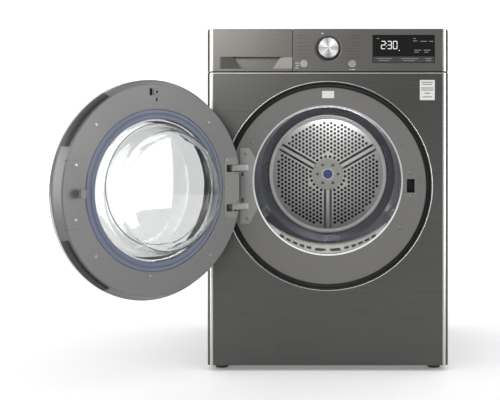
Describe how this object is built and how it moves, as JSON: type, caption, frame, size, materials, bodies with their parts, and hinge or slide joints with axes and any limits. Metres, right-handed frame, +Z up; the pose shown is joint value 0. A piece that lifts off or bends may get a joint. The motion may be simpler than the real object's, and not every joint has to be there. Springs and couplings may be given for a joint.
{
  "type": "clothes dryer",
  "caption": "Front-loading tumble dryer with a round glazed door, perforated stainless drum, lint filter, water drawer, dial and display.",
  "frame": {"origin": "floor level at the centre of the cabinet's footprint", "axes": "+X to the right seen from the front, +Y into the machine (the door faces -Y), +Z up"},
  "size_m": [0.8968, 0.9842, 0.85],
  "materials": {
    "graphite_steel": "brushed graphite-coloured steel sheet, clear lacquer",
    "graphite_facia": "satin graphite metal-effect plastic",
    "graphite_paint": "graphite paint, fine texture",
    "galvanised": "bare zinc-coated sheet",
    "surround_grey": "warm dark grey moulding, fine satin",
    "frame_grey": "grey moulding, fine satin",
    "bright_trim": "polished bright plating",
    "silver_trim": "satin silver",
    "drum_steel": "stainless steel, fine circumferential polish",
    "pale_plastic": "pale cream moulding",
    "white_plastic": "white moulding",
    "blue_plastic": "blue moulding",
    "black_glass": "black glossy pane",
    "black_plastic": "black moulding",
    "circuit_green": "green circuit board",
    "felt": "dense wool felt",
    "mesh": "fine woven polyester screen",
    "rubber_black": "black rubber",
    "seal_grey": "blue-grey soft seal",
    "clear_bowl": "clear moulding, polished",
    "tinted_window": "smoke-tinted pane, polished",
    "zinc_screw": "bright zinc-plated",
    "cast_hinge": "die-cast, satin silver",
    "bearing_bronze": "sintered bronze",
    "tank_grey": "translucent grey moulding",
    "motor_steel": "steel can, grey paint",
    "compressor_black": "black enamel",
    "coil_aluminium": "aluminium fins"
  },
  "bodies": {
    "root": {"side_panel_left": "graphite_paint", "side_panel_right": "graphite_paint", "top_cover": "graphite_paint", "back_panel": "galvanised", "front_panel": "graphite_steel", "control_panel": "graphite_facia", "display_window": "black_glass", "control_board": "circuit_green", "dial_ring": "graphite_facia", "tank_housing": "tank_grey", "door_surround": "surround_grey", "opening_trim": "bright_trim", "latch_housing": "black_plastic", "cabinet_hinge": "cast_hinge", "surround_screws": "zinc_screw", "front_bulkhead": "galvanised", "front_felt": "felt", "filter_housing": "white_plastic", "rear_bulkhead": "galvanised", "drum_bearing": "bearing_bronze", "rear_duct": "galvanised", "cord_gland": "black_plastic", "drive_belt": "rubber_black", "motor": "motor_steel", "idler_arm": "galvanised", "base_tray": "black_plastic", "compressor": "compressor_black", "heat_exchangers": "coil_aluminium", "drain_pump": "white_plastic", "pump_hose": "rubber_black"},
    "drum": {"drum_shell": "drum_steel", "drum_back": "drum_steel", "drum_lifters": "pale_plastic", "hub_plate": "pale_plastic", "hub_cap": "blue_plastic", "hub_screws": "zinc_screw", "drum_shaft": "drum_steel"},
    "rotor": {"motor_rotor": "drum_steel", "fan_wheel": "white_plastic"},
    "idler": {"idler_pulley": "white_plastic"},
    "left_roller": {"roller_left": "rubber_black"},
    "right_roller": {"roller_right": "rubber_black"},
    "dial": {"program_dial": "silver_trim"},
    "power_key": {"power_button": "silver_trim"},
    "start_key": {"start_button": "silver_trim"},
    "drawer": {"tank_front": "graphite_facia", "water_tank": "tank_grey"},
    "filter": {"lint_filter": "white_plastic", "lint_mesh": "mesh"},
    "left_foot": {"foot_left": "rubber_black"},
    "right_foot": {"foot_right": "rubber_black"},
    "door": {"door_cover": "graphite_facia", "door_trim": "bright_trim", "door_window": "tinted_window", "door_frame": "frame_grey", "door_bowl": "clear_bowl", "door_seal": "seal_grey", "door_hinge_leaf": "cast_hinge", "door_latch": "frame_grey", "door_screws": "zinc_screw"}
  },
  "joints": [
    {"name": "door_hinge", "type": "hinge", "parent": "root", "child": "door", "pos_m": [-0.235, -0.327, 0.4595], "axis": [0, 0, 1], "range_deg": [-8.4, 136.6]},
    {"name": "drum_spin", "type": "hinge", "parent": "root", "child": "drum", "pos_m": [0, -0.005, 0.47], "axis": [0, 1, 0], "continuous": true},
    {"name": "motor_spin", "type": "hinge", "parent": "root", "child": "rotor", "pos_m": [0.205, 0.095, 0.105], "axis": [0, 1, 0], "continuous": true},
    {"name": "idler_spin", "type": "hinge", "parent": "root", "child": "idler", "pos_m": [0.12, 0.025, 0.12], "axis": [0, 1, 0], "continuous": true},
    {"name": "left_roller_spin", "type": "hinge", "parent": "root", "child": "left_roller", "pos_m": [-0.16231, -0.205, 0.21024], "axis": [0, 1, 0], "continuous": true},
    {"name": "right_roller_spin", "type": "hinge", "parent": "root", "child": "right_roller", "pos_m": [0.16231, -0.205, 0.21024], "axis": [0, 1, 0], "continuous": true},
    {"name": "dial_turn", "type": "hinge", "parent": "root", "child": "dial", "pos_m": [0.0017, -0.305, 0.8016], "axis": [0, 1, 0], "continuous": true},
    {"name": "power_press", "type": "slide", "parent": "root", "child": "power_key", "axis": [0, 1, 0], "range_m": [0, 0.001], "stiffness_N_per_m": 600, "springref_m": -0.001},
    {"name": "start_press", "type": "slide", "parent": "root", "child": "start_key", "axis": [0, 1, 0], "range_m": [0, 0.001], "stiffness_N_per_m": 600, "springref_m": -0.001},
    {"name": "drawer_slide", "type": "slide", "parent": "root", "child": "drawer", "axis": [0, -1, 0], "range_m": [0, 0.4]},
    {"name": "filter_lift", "type": "slide", "parent": "root", "child": "filter", "axis": [0, 0, -1], "range_m": [-0.15, 0]},
    {"name": "left_foot_screw", "type": "slide", "parent": "root", "child": "left_foot", "axis": [0, 0, -1], "range_m": [0, 0.012]},
    {"name": "right_foot_screw", "type": "slide", "parent": "root", "child": "right_foot", "axis": [0, 0, -1], "range_m": [0, 0.012]}
  ],
  "couplings": [
    {"joint": "motor_spin", "follows": "drum_spin", "ratio": 24.87},
    {"joint": "idler_spin", "follows": "drum_spin", "ratio": 11.44},
    {"joint": "left_roller_spin", "follows": "drum_spin", "ratio": -14.3},
    {"joint": "right_roller_spin", "follows": "drum_spin", "ratio": -14.3}
  ]
}
